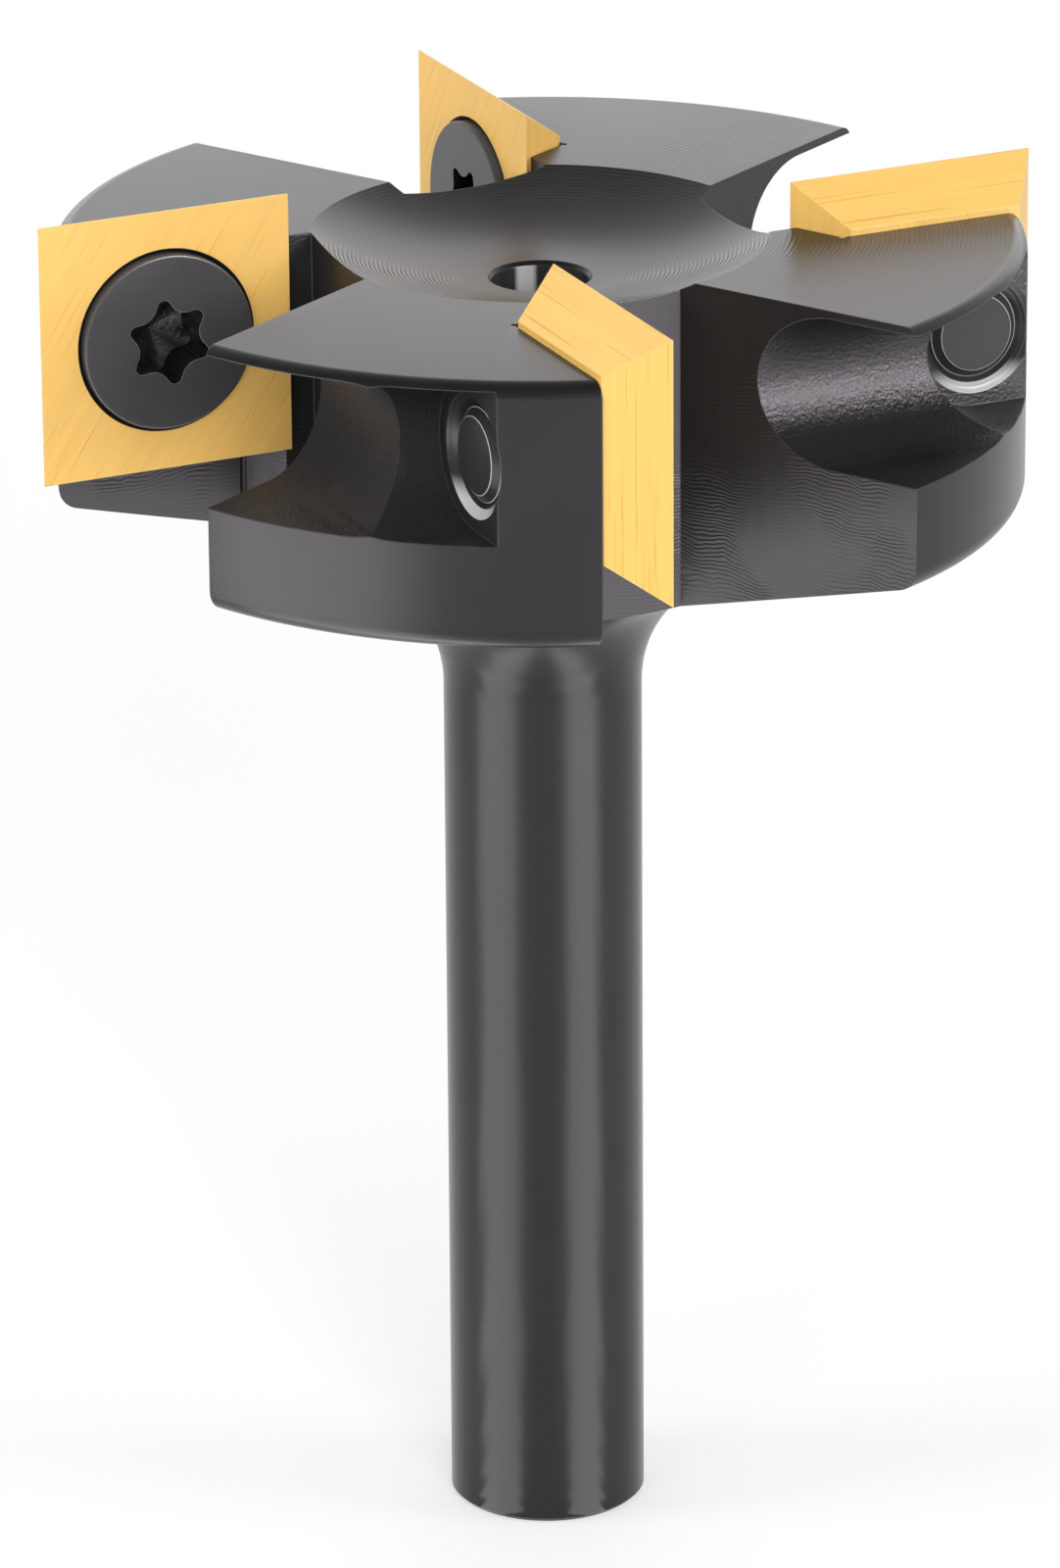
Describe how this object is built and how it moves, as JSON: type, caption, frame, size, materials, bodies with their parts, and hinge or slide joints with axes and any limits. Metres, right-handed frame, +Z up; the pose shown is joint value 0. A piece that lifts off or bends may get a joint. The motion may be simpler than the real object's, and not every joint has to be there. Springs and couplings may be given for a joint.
{
  "type": "surfacing router bit",
  "caption": "Wide spoilboard surfacing router bit: straight shank, winged head with a dished top, square indexable carbide inserts held by countersunk six-lobe screws.",
  "frame": {"origin": "centre of the shank's free end, the lowest point of the bit", "axes": "+Z up along the axis of rotation, from the shank to the cutting head; +X, +Y, -X and -Y run out along the four wings; the bit cuts turning counterclockwise seen from the head, which is clockwise seen from the router"},
  "size_m": [0.0632, 0.0632, 0.0894],
  "materials": {
    "dark_steel": "blackened, turned and milled, satin",
    "gold_carbide": "gold nitride coating over ground carbide",
    "black_screw": "black oxide, smooth"
  },
  "bodies": {
    "root": {"cutter_body": "dark_steel", "insert_1": "gold_carbide", "insert_screw_1": "black_screw", "insert_2": "gold_carbide", "insert_screw_2": "black_screw", "insert_3": "gold_carbide", "insert_screw_3": "black_screw", "insert_4": "gold_carbide", "insert_screw_4": "black_screw"}
  },
  "joints": []
}
